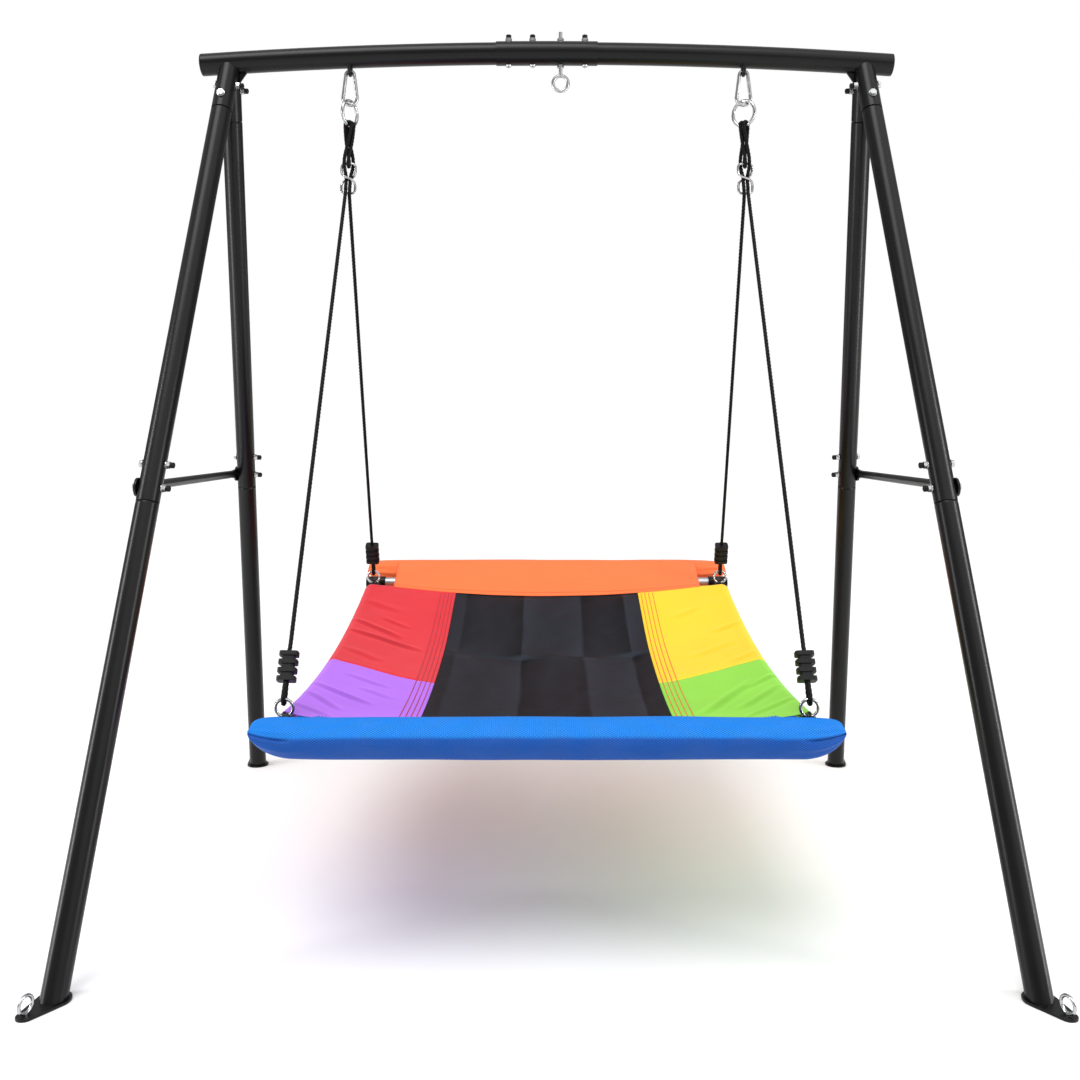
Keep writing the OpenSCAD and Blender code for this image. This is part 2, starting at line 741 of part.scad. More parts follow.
// Tee on the end rail that takes the side rail, with the lug that holds the corner ring
module corner_joints() {
  lug_t = 5;
  lug_r = 9;
  color(black_paint)
    at_mat()
      for (side = [-1, 1], end = [-1, 1])
        difference() {
          union() {
            at_bow(end * rail_y) translate([side * rail_x, 0, 0]) rod_x(26, tee_d);
            at_bow(end * (rail_y - arm_half)) translate([side * rail_x, 0, 0]) rod_y(arm_half, tee_d);
            translate([side * rail_x, end * ring_y, -rail_drop]) {
              translate([-lug_t / 2, -lug_r, 0]) cube([lug_t, 2 * lug_r, rail_drop - corner_r]);
              translate([0, 0, rail_drop - corner_r]) rotate([0, 90, 0])
                cylinder(r = lug_r, h = lug_t, center = true);
            }
          }
          at_bow(end * rail_y) rod_x(roll_half, rail_d + 0.2);
          at_bow(end * (rail_y - arm_half))
            translate([side * rail_x, 0, 0]) rod_y(arm_half + 10, rail_d + 0.4);
          translate([side * rail_x, end * ring_y, -corner_r]) rotate([0, 90, 0])
            cylinder(r = corner_rod / 2 + 0.9, h = 20, center = true);
        }
}

module corner_rings() {
  color(zinc)
    at_mat()
      for (side = [-1, 1], end = [-1, 1])
        translate([side * rail_x, end * ring_y, 0]) rotate([90, 0, 0])
          rotate_extrude($fn = 72) translate([corner_r, 0]) circle(d = corner_rod, $fn = 32);
}

cover_t = 1.3;
module foam_rolls() {
  color([0.9, 0.9, 0.88])
    at_mat()
      for (end = [-1, 1])
        at_bow(end * roll_y) rod_x(roll_half - 3, roll_d - 2 * cover_t - 0.2);
}

// Height of the hung cloth's top face at x, above the side rails' arc
function cloth_h(x) = hem_r - sag * (1 - pow(x / rail_x, 2));
function cloth_line(x0, x1, steps, drop) =
  [for (i = [0:steps]) let (x = x0 + (x1 - x0) * i / steps) [x, cloth_h(x) - drop]];
module cloth(x0, x1, steps) {
  polygon(concat(cloth_line(x0, x1, steps, 0), back_to_front(cloth_line(x0, x1, steps, cloth_t))));
}

// Flap of a cover at x: from the cloth's seam, over the end rail, to the top of the roll
over_r = rail_d / 2 + cloth_t + 1.5;
roll_rise = asin((roll_d / 2 - over_r) / (roll_y - rail_y));
function flap_rise(x) = let (down = [rail_y - seam_y, -cloth_h(x)])
  atan2(down.y, down.x) + asin(over_r / norm(down));
function flap_line(x, drop) = [
  [seam_y, cloth_h(x) - drop],
  [rail_y - (over_r - drop) * sin(flap_rise(x)), (over_r - drop) * cos(flap_rise(x))],
  [rail_y - (over_r - drop) * sin(roll_rise), (over_r - drop) * cos(roll_rise)],
  [roll_y - (roll_d / 2 - drop) * sin(roll_rise), (roll_d / 2 - drop) * cos(roll_rise)]
];
module flap(end) {
  steps = 16;
  edge = 8;
  points = [for (i = [0:steps]) let (x = flap_half * (2 * i / steps - 1))
    for (p = concat(flap_line(x, 0), back_to_front(flap_line(x, cloth_t)))) bow_point(x, end * p.x, p.y)];
  caps = [[for (k = [0:edge - 1]) k], [for (k = [edge - 1:-1:0]) steps * edge + k]];
  walls = [for (i = [0:steps - 1], k = [0:edge - 1])
    let (a = i * edge + k, b = i * edge + (k + 1) % edge)
      each [[b, a, a + edge], [b, a + edge, b + edge]]];
  faces = concat(caps, walls);
  polyhedron(points = points, faces = end < 0 ? faces : [for (f = faces) back_to_front(f)]);
}
module end_cover(end) {
  at_mat()
    difference() {
      union() {
        at_bow(end * roll_y) rod_x(roll_half, roll_d);
        flap(end);
      }
      at_bow(end * roll_y) rod_x(roll_half - 2, roll_d - 2 * cover_t);
    }
}
module front_cover() { color([0.13, 0.5, 0.93]) end_cover(-1); }
module rear_cover() { color([1, 0.5, 0.25]) end_cover(1); }

// Side panel: cloth from the middle panel out to a hem rolled round the side rail
module side_panel(side, y0, y1) {
  at_mat()
    mirror([side < 0 ? 1 : 0, 0, 0])
      along_bow(y0, y1)
        difference() {
          union() {
            cloth(black_half, rail_x, 8);
            translate([rail_x, 0]) circle(r = hem_r);
          }
          translate([rail_x, 0]) circle(d = rail_d + 0.2);
        }
}
module panel_red() { color([0.9, 0.16, 0.22]) side_panel(-1, colour_y, seam_y); }
module panel_purple() { color([0.68, 0.42, 0.95]) side_panel(-1, -seam_y, colour_y); }
module panel_yellow() { color([0.98, 0.85, 0.1]) side_panel(1, colour_y, seam_y); }
module panel_green() { color([0.55, 0.88, 0.25]) side_panel(1, -seam_y, colour_y); }
module panel_black() {
  color([0.14, 0.14, 0.16]) at_mat() along_bow(-seam_y, seam_y) cloth(-black_half, black_half, 16);
}

beam_tube_left();
beam_tube_right();
beam_end_plugs();
beam_sleeve();
sleeve_bolts();
sleeve_nuts();
sleeve_caps();
centre_eyebolt();
eyebolt_nuts();
leg_socket_front_left();
leg_socket_front_right();
leg_socket_rear_left();
leg_socket_rear_right();
gusset_plates();
upper_leg_front_left();
upper_leg_front_right();
upper_leg_rear_left();
upper_leg_rear_right();
lower_leg_front_left();
lower_leg_front_right();
lower_leg_rear_left();
lower_leg_rear_right();
brace_left();
brace_right();
foot_plates();
anchor_rings();
joint_bolts();
joint_washers();
joint_nuts();
joint_caps();
hook_eye_left();
hook_eye_right();
carabiner_left();
carabiner_right();
gate_pin_left();
gate_pin_right();
gate_left();
gate_right();
hanging_ring_left();
hanging_ring_right();
buckle_left();
buckle_right();
rope_left();
rope_right();
rope_clamps_left();
rope_clamps_right();
front_rail();
rear_rail();
side_rail_left();
side_rail_right();
corner_joints();
corner_rings();
foam_rolls();
front_cover();
rear_cover();
panel_red();
panel_purple();
panel_yellow();
panel_green();
panel_black();
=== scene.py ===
import json
import math

import bpy
from mathutils import Matrix, Vector, noise


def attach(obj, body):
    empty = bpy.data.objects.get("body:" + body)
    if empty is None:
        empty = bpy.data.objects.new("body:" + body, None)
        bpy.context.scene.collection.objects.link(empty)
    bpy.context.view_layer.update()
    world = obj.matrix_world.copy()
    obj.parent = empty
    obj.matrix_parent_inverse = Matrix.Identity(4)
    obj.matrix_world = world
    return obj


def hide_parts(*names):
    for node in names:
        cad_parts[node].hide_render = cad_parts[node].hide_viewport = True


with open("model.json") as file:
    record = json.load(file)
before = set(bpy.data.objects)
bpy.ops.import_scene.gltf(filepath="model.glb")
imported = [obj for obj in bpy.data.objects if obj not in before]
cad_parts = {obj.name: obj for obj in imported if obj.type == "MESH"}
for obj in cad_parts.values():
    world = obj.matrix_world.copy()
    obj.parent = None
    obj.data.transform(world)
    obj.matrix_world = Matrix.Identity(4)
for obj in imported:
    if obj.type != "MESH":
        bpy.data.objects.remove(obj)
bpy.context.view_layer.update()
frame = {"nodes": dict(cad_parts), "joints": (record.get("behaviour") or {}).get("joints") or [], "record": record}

# Looks of the platform swing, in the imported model's own frame: metres, +Z up, front towards -Y.
# Soft pieces are drawn in the mat's frame, whose origin is the middle of its four corner rings.

# ---------------------------------------------------------------- the frame's own figures
joints = {joint["name"]: joint for joint in frame["joints"]}
mat_hinge = joints["mat_level"]
hanger = joints["sway"]
HOOK_X = -hanger["pos_m"][0]
RING_Z = hanger["pos_m"][2]
RAIL_X, MAT_Y, MAT_Z = -mat_hinge["pos_m"][0], mat_hinge["pos_m"][1], mat_hinge["pos_m"][2]
TILT = math.atan2(mat_hinge["axis"][2], mat_hinge["axis"][1])

# ---------------------------------------------------------------- sizes that part.scad also has
# Half the distance between the corner rings, the end rails and the padded rolls, front to back
RING_Y = 0.520
RAIL_Y = 0.565
ROLL_Y = 0.635
# The side rails run this far below the corner rings' level, and dip this much more in the middle
RAIL_DROP = 0.034
BOW = 0.044
RAIL_R = 0.014
CORNER_RING_R = 0.016
ROLL_R = 0.034
ROLL_HALF = 0.500
# The cloth: its dip across the mat, the black panel's half width, and the seam between two colours
SAG = 0.060
BLACK_HALF = 0.248
COLOUR_Y = -0.085
# The hem round a side rail, and where the flaps' seams and the hems end
HEM_R = 0.0215
SEAM_Y = RING_Y - 0.016
HEM_END = RING_Y - 0.0165
# The ropes, and how far each rope bundle turns between its buckle and its ring
ROPE_D = 0.008
RING_TURN = {"left": math.radians(65), "right": math.radians(42)}

MAT_FRAME = Matrix.Translation((0, MAT_Y, MAT_Z)) @ Matrix.Rotation(TILT, 4, "X")
BOW_R = (RING_Y ** 2 + BOW ** 2) / (2 * BOW)
BOW_TOP = math.sqrt(BOW_R ** 2 - RING_Y ** 2) - RAIL_DROP


def bow_point(x, y, height):
    """A point of the mat: across it, along the side rails' arc, and above the arc."""
    angle = math.asin(y / BOW_R)
    radius = BOW_R - height
    return Vector((x, radius * math.sin(angle), BOW_TOP - radius * math.cos(angle)))


# ---------------------------------------------------------------- camera
def add_camera():
    """A level camera in front of the stand, as high as the middle of its legs."""
    lens = bpy.data.cameras.new("camera")
    lens.lens = 37.26
    lens.sensor_width = 36
    lens.shift_x = -0.0063
    lens.shift_y = -0.1006
    camera = bpy.data.objects.new("camera", lens)
    camera.location = (0, -2.523, 0.949)
    camera.rotation_euler = (math.radians(90), 0, 0)
    bpy.context.scene.collection.objects.link(camera)
    bpy.context.scene.camera = camera


# ---------------------------------------------------------------- the ropes' route, as in part.scad (mm)
# From the front run through the buckle, twice over the hanging ring and back, below the ring's top rod
STRANDS = [
    (-4.6, -7.4, -209), (-4.6, -6.6, -199), (-4.6, -2.5, -186), (-4.6, 0, -175), (-5.4, -1, -168),
    (-7.6, -5, -155), (-8.8, -7.4, -142), (-8.6, -7.6, -125), (-6, -8.5, -90), (-4.6, -8.5, -56),
    (-4.6, -6, -50), (-4.6, 0, -47.4), (-4.6, 6, -50), (-4.6, 8.5, -56), (-3, 8.5, -90),
    (-0.6, 7.6, -125), (0, 7.3, -141), (0, 5.3, -146.2), (0, 0, -148.5), (0, -5.3, -146.2),
    (0, -7.3, -141), (0.6, -7.6, -125), (3, -8.5, -90), (4.6, -8.5, -56), (4.6, -6, -50),
    (4.6, 0, -47.4), (4.6, 6, -50), (4.6, 8.5, -56), (6, 8.5, -90), (8.6, 7.6, -125),
    (8.8, 7.4, -142), (7.6, 5, -155), (5.4, 1, -168), (4.6, 0, -175), (4.6, -2.5, -186),
    (4.6, -6.6, -199), (4.6, -7.2, -209), (4.2, -3.5, -221),
]
# Round a corner ring and up through the clamp: across the loop, and up towards the buckle
END_LOOP = [
    (4.2, 74), (4.2, 58), (4.2, 42), (6.4, 24), (8.3, 10), (8.3, 0), (5.9, -5.9), (0, -8.3),
    (-5.9, -5.9), (-8.3, 0), (-8.3, 10), (-6.4, 24), (-4.2, 42), (-4.2, 58), (-3, 84), (-0.5, 110),
]
RUN = (0.1, 0.3, 0.5, 0.7, 0.9)
TWIST_LOW = -135
TWIST_SPAN = 75
SPLAY = math.atan((RAIL_X - HOOK_X) / (RING_Z - MAT_Z))
MM = 0.001


def hung(point, turn):
    """A point of the left hanger, from its place below the hanging ring's top rod."""
    share = max(0.0, min(1.0, (point[2] - TWIST_LOW) / TWIST_SPAN))
    turned = Matrix.Rotation(turn * share, 3, "Z") @ (Vector(point) * MM)
    return Matrix.Rotation(SPLAY, 3, "Y") @ turned + Vector((-HOOK_X, 0, RING_Z))


def loop_at(end):
    """Middle of the left rope's front (-1) or rear (1) end loop, on its corner ring."""
    return MAT_FRAME @ Vector((-RAIL_X, end * RING_Y, CORNER_RING_R))


def strand_end(end):
    """Where the front or rear run of the left rope leaves its buckle."""
    return hung(STRANDS[0] if end < 0 else STRANDS[-1], 0)


def end_points(end):
    """The end loop's points, leaning with the run above it."""
    way = (strand_end(end) - loop_at(end)).normalized()
    sideways = Matrix.Rotation(math.atan2(way.x, way.z), 3, "Y")
    lean = sideways @ Matrix.Rotation(-math.asin(way.y), 3, "X")
    return [lean @ Vector((0, -end * across * MM, up * MM)) + loop_at(end) for across, up in END_LOOP]


def run_points(end):
    """The straight run between an end loop and the buckle."""
    low, high = end_points(end)[-1], strand_end(end)
    return [low.lerp(high, share) for share in RUN]


def rope_route(side):
    """Points of one rope from its front end loop over the hanging ring to its rear end loop."""
    front = end_points(-1) + run_points(-1)
    rear = end_points(1) + run_points(1)
    points = front + [hung(point, RING_TURN[side]) for point in STRANDS] + rear[::-1]
    return [Vector((-p.x, p.y, p.z)) for p in points] if side == "right" else points


def smooth_line(points, step):
    """Catmull-Rom line through the points, sampled about every step metres."""
    ends = [points[0] * 2 - points[1], *points, points[-1] * 2 - points[-2]]
    line = []
    for a, b, c, d in zip(ends, ends[1:], ends[2:], ends[3:]):
        count = max(1, round((c - b).length / step))
        for i in range(count):
            t = i / count
            line.append(0.5 * (2 * b + (c - a) * t + (2 * a - 5 * b + 4 * c - d) * t * t
                               + (3 * b - a - 3 * c + d) * t ** 3))
    return line + [points[-1]]


def line_length(line):
    """Length of a line of straight pieces."""
    return sum((b - a).length for a, b in zip(line, line[1:]))


# ---------------------------------------------------------------- building pieces
def add_piece(name, points, faces, paint, body, uv=None, placed=None, painted_crease_shade=None):
    """A smooth-shaded mesh piece that rides on a body. uv holds a point's place on the cloth, in metres,
    and the last argument the painted light and shade on the cloth's creases there, 0 to 1."""
    mesh = bpy.data.meshes.new(name)
    mesh.from_pydata([placed @ p for p in points] if placed else points, [], faces)
    mesh.materials.append(paint)
    if uv:
        layer = mesh.uv_layers.new(name="cloth")
        for loop in mesh.loops:
            layer.data[loop.index].uv = uv[loop.vertex_index]
    if painted_crease_shade:
        colours = mesh.color_attributes.new("painted_crease_shade", "FLOAT_COLOR", "POINT")
        for point, value in zip(colours.data, painted_crease_shade):
            point.color = (value, value, value, 1)
    mesh.shade_smooth()
    piece = bpy.data.objects.new(name, mesh)
    bpy.context.scene.collection.objects.link(piece)
    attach(piece, body)
    return piece


def thicken(piece, thickness, offset=-1.0):
    """Gives a sheet its thickness, behind its faces (-1) or in front of them (1)."""
    modifier = piece.modifiers.new("thickness", "SOLIDIFY")
    modifier.thickness = thickness
    modifier.offset = offset


def grid_faces(rows, columns, start=0, around=False):
    """Faces of a grid of points held row by row; around joins the last column to the first."""
    last = columns if around else columns - 1
    return [
        (start + i * columns + j, start + i * columns + (j + 1) % columns,
         start + (i + 1) * columns + (j + 1) % columns, start + (i + 1) * columns + j)
        for i in range(rows - 1) for j in range(last)
    ]


def carried_frames(line):
    """(point, side, up) along a line, with the side carried from point to point without twist."""
    way = (line[1] - line[0]).normalized()
    side = way.orthogonal().normalized()
    for i, point in enumerate(line):
        way = (line[min(i + 1, len(line) - 1)] - line[max(i - 1, 0)]).normalized()
        side = (side - way * side.dot(way)).normalized()
        yield point, side, way.cross(side)


def smooth_step(low, high, value):
    """0 up to low, 1 from high on, and an even S between them."""
    t = max(0.0, min(1.0, (value - low) / (high - low)))
    return t * t * (3 - 2 * t)


def spread(low, high, count):
    """Evenly spaced values from low to high, both included."""
    return [low + (high - low) * i / (count - 1) for i in range(count)]


def rumple(x, y, scale, seed):
    """Soft unevenness from -1 to 1 that repeats nowhere on the mat."""
    return noise.noise(Vector((x * scale, y * scale, seed)))


def add_rope(side):
    """Laid rope of three strands, twisted along its route."""
    line = smooth_line(rope_route(side), step=0.0016)
    strands, lay_length, sides = 3, 0.026, 24
    crown, groove_depth = 1.04, 0.34
    points, run = [], 0.0
    for i, (point, across, up) in enumerate(carried_frames(line)):
        run += (point - line[i - 1]).length if i else 0
        twist = 2 * math.pi * run / lay_length
        for k in range(sides):
            angle = 2 * math.pi * k / sides
            groove = abs(math.sin(strands / 2 * (angle - twist)))
            radius = ROPE_D / 2 * (crown - groove_depth * (1 - groove) ** 2)
            points.append(point + radius * (math.cos(angle) * across + math.sin(angle) * up))
    faces = grid_faces(len(line), sides, around=True)
    last = (len(line) - 1) * sides
    faces += [tuple(range(sides)), tuple(last + k for k in range(sides))]
    rope = add_piece("laid_rope_" + side, points, faces, paints["rope"], "ropes_" + side)
    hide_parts("rope_" + side)
    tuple(line[0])


# ---------------------------------------------------------------- materials
class Paint:
    """A material being built: its Principled shader and the nodes that feed it."""

    def __init__(self, name, **sockets):
        self.material = bpy.data.materials.new(name)
        self.material.use_nodes = True
        self.tree = self.material.node_tree
        self.shader = self.tree.nodes["Principled BSDF"]
        self.feed(self.shader, **sockets)

    def feed(self, node, **sockets):
        """Sets or links a node's inputs, given by name (_ for a space) or by number (_0, _1)."""
        for key, value in sockets.items():
            by_number = key[1:].isdigit()
            socket = node.inputs[int(key[1:]) if by_number else key.replace("_", " ")]
            if isinstance(value, bpy.types.NodeSocket):
                self.tree.links.new(value, socket)
            else:
                socket.default_value = value

    def node(self, kind, settings=None, **sockets):
        node = self.tree.nodes.new("ShaderNode" + kind)
        for key, value in (settings or {}).items():
            setattr(node, key, value)
        self.feed(node, **sockets)
        return node

    def place(self, stretch=(1, 1, 1), on="Object", turn=0.0):
        """Place in the object's own metres, or on="UV" for the place on the flat cloth."""
        source = self.node("TexCoord").outputs[on]
        return self.node("Mapping", Vector=source, Scale=stretch, Rotation=(0, 0, turn)).outputs["Vector"]

    def noise(self, vector, scale, detail=2.0):
        return self.node("TexNoise", Vector=vector, Scale=scale, Detail=detail).outputs["Fac"]

    def bands(self, vector, axis, period):
        """Sine bands across the axis, one every period metres."""
        settings = {"wave_type": "BANDS", "bands_direction": axis}
        return self.node("TexWave", settings, Vector=vector, Scale=math.pi / 10 / period).outputs["Fac"]

    def math(self, operation, a, b):
        return self.node("Math", {"operation": operation}, _0=a, _1=b).outputs[0]

    def span(self, value, low, high, from_low=0.0, from_high=1.0):
        return self.node("MapRange", Value=value, From_Min=from_low, From_Max=from_high,
                         To_Min=low, To_Max=high).outputs["Result"]

    def mix(self, share, a, b):
        return self.node("Mix", {"data_type": "RGBA"}, _0=share, _6=a, _7=b).outputs[2]

    def bump(self, height, distance, strength=1.0, **more):
        node = self.node("Bump", Height=height, Distance=distance, Strength=strength, **more)
        return node.outputs["Normal"]

    def soft_edge(self, radius):
        return self.node("Bevel", {"samples": 4}, Radius=radius).outputs["Normal"]


def tone(colour, factor=1.0):
    return tuple(min(1.0, c * factor) for c in colour) + (1.0,)


def powder_coat():
    paint = Paint("powder_coat", Specular_IOR_Level=0.24)
    place = paint.place()
    cloudy = paint.noise(place, 9, 3)
    grain = paint.noise(place, 1400, 1)
    colour = paint.mix(cloudy, tone((0.0026, 0.0026, 0.0027)), tone((0.0044, 0.0044, 0.0046)))
    edge = paint.soft_edge(0.0006)
    paint.feed(paint.shader, Base_Color=colour, Roughness=paint.span(cloudy, 0.25, 0.35),
               Normal=paint.bump(grain, 0.00005, 0.35, Normal=edge))
    return paint.material


def plated_steel(name, colour, rough, streak=(1, 1, 1)):
    paint = Paint(name, Metallic=1.0)
    cloudy = paint.noise(paint.place(), 60, 4)
    brushed = paint.noise(paint.place(streak), 500, 2)
    base = paint.mix(cloudy, tone(colour, 0.86), tone(colour, 1.06))
    edge = paint.soft_edge(0.0005)
    paint.feed(paint.shader, Base_Color=base, Roughness=paint.span(brushed, rough * 0.8, rough * 1.35),
               Normal=paint.bump(brushed, 0.00004, 0.3, Normal=edge))
    return paint.material


def moulded_plastic():
    paint = Paint("moulded_plastic", Specular_IOR_Level=0.22)
    place = paint.place()
    grain = paint.noise(place, 1800, 2)
    cloudy = paint.noise(place, 40, 2)
    colour = paint.mix(cloudy, tone((0.0035, 0.0035, 0.0036)), tone((0.007, 0.007, 0.0073)))
    edge = paint.soft_edge(0.0012)
    paint.feed(paint.shader, Base_Color=colour, Roughness=paint.span(grain, 0.42, 0.58),
               Normal=paint.bump(grain, 0.00006, 0.4, Normal=edge))
    return paint.material


def rope_fibre():
    paint = Paint("rope_fibre", Specular_IOR_Level=0.12)
    place = paint.place()
    fibre = paint.noise(place, 1100, 3)
    fade = paint.noise(place, 30, 2)
    colour = paint.mix(fade, tone((0.002, 0.002, 0.0022)), tone((0.005, 0.005, 0.0055)))
    paint.feed(paint.shader, Base_Color=colour, Roughness=paint.span(fibre, 0.35, 0.6),
               Normal=paint.bump(fibre, 0.0002, 0.6))
    return paint.material


def closed_foam():
    paint = Paint("closed_foam", Roughness=0.9)
    cells = paint.node("TexVoronoi", Vector=paint.place(), Scale=420.0).outputs["Distance"]
    # The cells' hollows are painted darker: painted shade in the foam's pores.
    colour = paint.mix(cells, tone((0.42, 0.42, 0.4)), tone((0.62, 0.62, 0.58)))
    paint.feed(paint.shader, Base_Color=colour, Normal=paint.bump(cells, 0.0004, 0.5))
    return paint.material


def woven_cloth(name, colour, rough=0.62, sheen=0.12, mottle=0.08, specular=0.25, painted_crease_shade=0.0):
    """Tight plain weave with slight mottling. The last argument is how strongly painted shade and painted
    highlight on the creases darken and lighten it.
    """
    paint = Paint(name, Sheen_Weight=sheen, Sheen_Roughness=0.45, Specular_IOR_Level=specular)
    thread_pitch = 0.0011
    cloth = paint.place(on="UV")
    warp = paint.bands(cloth, "X", thread_pitch)
    weft = paint.bands(cloth, "Y", thread_pitch)
    weave = paint.math("MULTIPLY", warp, weft)
    slubs = paint.noise(paint.place((90, 900, 1), on="UV"), 1.0, 2)
    cloudy = paint.noise(cloth, 11, 3)
    shade = paint.math("ADD", paint.math("MULTIPLY", cloudy, 0.6), paint.math("MULTIPLY", slubs, 0.4))
    base = paint.mix(shade, tone(colour, 1 - mottle), tone(colour, 1 + mottle))
    # Painted shade and painted highlight on the creases, read from the piece's colour attribute.
    if painted_crease_shade:
        crease_shade_value = paint.node("Attribute", {"attribute_name": "painted_crease_shade"}).outputs["Color"]
        factor = paint.span(crease_shade_value, 1 - painted_crease_shade, 1 + painted_crease_shade)
        base = paint.node("VectorMath", {"operation": "MULTIPLY"}, _0=base, _1=factor).outputs[0]
    crumple = paint.noise(cloth, 45, 3)
    fine = paint.bump(weave, 0.00012, 0.5, Normal=paint.bump(crumple, 0.0012, 0.35))
    paint.feed(paint.shader, Base_Color=base, Roughness=paint.span(weave, rough * 0.9, rough * 1.15),
               Normal=fine)
    return paint.material


# Where the painted shade on the blue roll's lower half begins, metres round the sleeve from the flap's upper seam.
SHADE_FROM = 0.199


def dimpled_mesh(name, upper, lower):
    """Knitted sleeve with rows of small staggered holes, each painted darker as painted shade in its dimple.
    Below the roll's middle, painted shade: the lit upper colour turns to the shaded lower one, as many metres
    round the sleeve from the flap's upper seam as the constant above gives."""
    paint = Paint(name, Specular_IOR_Level=0.1)
    cloth = paint.place(on="UV", turn=math.pi / 4)
    pitch = 0.0045
    holes = paint.node("TexVoronoi", Vector=cloth, Scale=1 / pitch, Randomness=0.0).outputs["Distance"]
    hole = paint.span(holes, 1.0, 0.0, 0.10, 0.45)
    cloudy = paint.noise(paint.place(on="UV"), 14, 3)
    # Painted shade on the roll's lower half, beyond a slightly wavy line.
    down = paint.node("SeparateXYZ", Vector=paint.place(on="UV")).outputs["Y"]
    shade_edge = paint.math("ADD", down, paint.math("MULTIPLY", cloudy, 0.008))
    below = paint.span(shade_edge, 0.0, 1.0, SHADE_FROM, SHADE_FROM + 0.010)
    shade = paint.mix(below, tone(upper), tone(lower))
    yarn = paint.mix(cloudy, shade, paint.mix(0.03, shade, tone((1, 1, 1))))
    # The holes are painted darker: painted shade in the dimples.
    base = paint.mix(hole, yarn, paint.mix(below, tone(upper, 0.35), tone(lower, 0.35)))
    yarns = paint.noise(paint.place(on="UV"), 900, 2)
    rough = paint.span(yarns, 0.4, 0.6)
    dents = paint.bump(hole, -0.0005, 0.7, Normal=paint.bump(yarns, 0.0001, 0.4))
    paint.feed(paint.shader, Base_Color=base, Roughness=rough, Normal=dents)
    return paint.material


def thread_yarn(name, colour):
    paint = Paint(name, Roughness=0.55, Sheen_Weight=0.2)
    ply = paint.noise(paint.place(), 1600, 2)
    base = paint.mix(ply, tone(colour, 0.75), tone(colour, 1.15))
    paint.feed(paint.shader, Base_Color=base, Normal=paint.bump(ply, 0.0001, 0.5))
    return paint.material


def make_paints():
    return {
        "frame_paint": powder_coat(),
        "zinc_hardware": plated_steel("zinc_plated", (0.50, 0.505, 0.51), 0.24),
        "bright_wire": plated_steel("bright_wire", (0.50, 0.50, 0.505), 0.16),
        "rail_steel": plated_steel("rail_steel", (0.5, 0.5, 0.52), 0.36, streak=(0.04, 1, 1)),
        "black_plastic": moulded_plastic(),
        "rope": rope_fibre(),
        "foam": closed_foam(),
        # The blue roll's lit upper colour, then the painted-shade colour of its lower half.
        "blue_cloth": dimpled_mesh("blue_mesh", (0.002, 0.20, 0.72), (0.001, 0.080, 0.40)),
        "orange_cloth": woven_cloth("orange_weave", (0.96, 0.165, 0.045)),
        # The panels carry painted crease shade and highlight, this strong.
        "red_cloth": woven_cloth("red_weave", (0.64, 0.015, 0.028), painted_crease_shade=0.4),
        "purple_cloth": woven_cloth("purple_weave", (0.40, 0.13, 0.76), painted_crease_shade=0.4),
        "yellow_cloth": woven_cloth("yellow_weave", (0.90, 0.57, 0.012), painted_crease_shade=0.3),
        "green_cloth": woven_cloth("green_weave", (0.24, 0.62, 0.04), painted_crease_shade=0.35),
        "black_cloth": woven_cloth("black_weave", (0.013, 0.0145, 0.02), rough=0.6, sheen=0.0, mottle=0.15,
                                   specular=0.08, painted_crease_shade=0.8),
        "blue_thread": thread_yarn("blue_thread", (0.02, 0.16, 0.6)),
        "orange_thread": thread_yarn("orange_thread", (0.85, 0.16, 0.05)),
        "crimson_thread": thread_yarn("crimson_thread", (0.38, 0.006, 0.03)),
        "coral_thread": thread_yarn("coral_thread", (0.72, 0.06, 0.02)),
    }


def dress_cad_nodes():
    """Gives every CAD node the finish of its material slot in the record."""
    for part in frame["record"]["subparts"]:
        node = frame["nodes"][part["node"]]
        node.data.materials.clear()
        node.data.materials.append(paints[part["material_slot"]])


# ---------------------------------------------------------------- the mat's cloth
# Share of its dip that the cloth loses at the rear end rail, and where that begins
END_HOLD = 0.4
HOLD_FROM = 0.15
CLOTH_THICK = 0.0012
# How far cloth runs on under its neighbours at the long seams, and under the flaps
EDGE_TUCK = 0.004
SEAM_TUCK = 0.006


def sag_at(y):
    """Depth of the hung cloth: the rear end rail holds it flatter."""
    return SAG * (1 - END_HOLD * smooth_step(HOLD_FROM, SEAM_Y, y))


def cloth_height(x, y):
    """Height of the hung cloth above the side rails' arc."""
    return HEM_R - sag_at(y) * (1 - (x / RAIL_X) ** 2)


def fold_height(across, along, folds):
    """Height of the creases at a point of the cloth, each a ridge with a valley on one side of it."""
    height = 0.0
    here = Vector((across, along))
    for x0, y0, x1, y1, tall, wide in folds:
        start, way = Vector((x0, y0)), Vector((x1 - x0, y1 - y0))
        share = max(0.0, min(1.0, (here - start).dot(way) / way.length_squared))
        offset = here - start - way * share
        off = offset.length / wide
        beside = (here - start).dot(Vector((-way.y, way.x)).normalized()) / wide
        fade = 1 - abs(2 * share - 1) ** 3
        valley = 0.6 * math.exp(-(off * off + 2 - 2.6 * beside))
        height += tall * fade * (math.exp(-off * off) - valley)
    return height


# The black panel's lengthwise creases: place across the mat and height, a ridge or (below 0) a valley
BLACK_CREASES = [(-0.215, -0.0030), (-0.060, 0.0055), (0.090, -0.0050), (0.203, 0.0055)]
CREASE_WIDTH = 0.040
# The crease across it: its place, height and width, and the stretch in which the others turn over
CROSS_CREASE = 0.150
CROSS_TALL = 0.0045
CROSS_WIDTH = 0.035
CROSS_TURN = 0.012
# The cells between the creases, along the cross crease: one edge, and their width
CELL_EDGE = -0.060
CELL_WIDTH = 0.150


